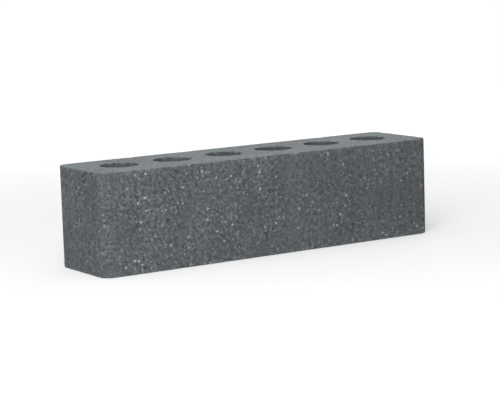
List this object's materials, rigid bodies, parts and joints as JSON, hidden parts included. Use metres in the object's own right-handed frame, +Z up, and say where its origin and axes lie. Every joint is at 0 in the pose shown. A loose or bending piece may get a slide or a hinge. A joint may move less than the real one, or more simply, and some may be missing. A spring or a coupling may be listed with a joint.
{
  "type": "perforated facing brick",
  "caption": "Narrow extruded facing brick of dark grey fired clay, with rounded upright edges and a single row of round perforations through both bed faces.",
  "frame": {"origin": "middle of the lower bed face", "axes": "+X along the length from the left header face to the right one, +Y across the bed from the front stretcher face to the back one, +Z up, from the lower bed face to the upper one"},
  "size_m": [0.25, 0.06, 0.065],
  "materials": {
    "fired_clay": "matte"
  },
  "bodies": {
    "root": {"brick": "fired_clay"}
  },
  "joints": []
}
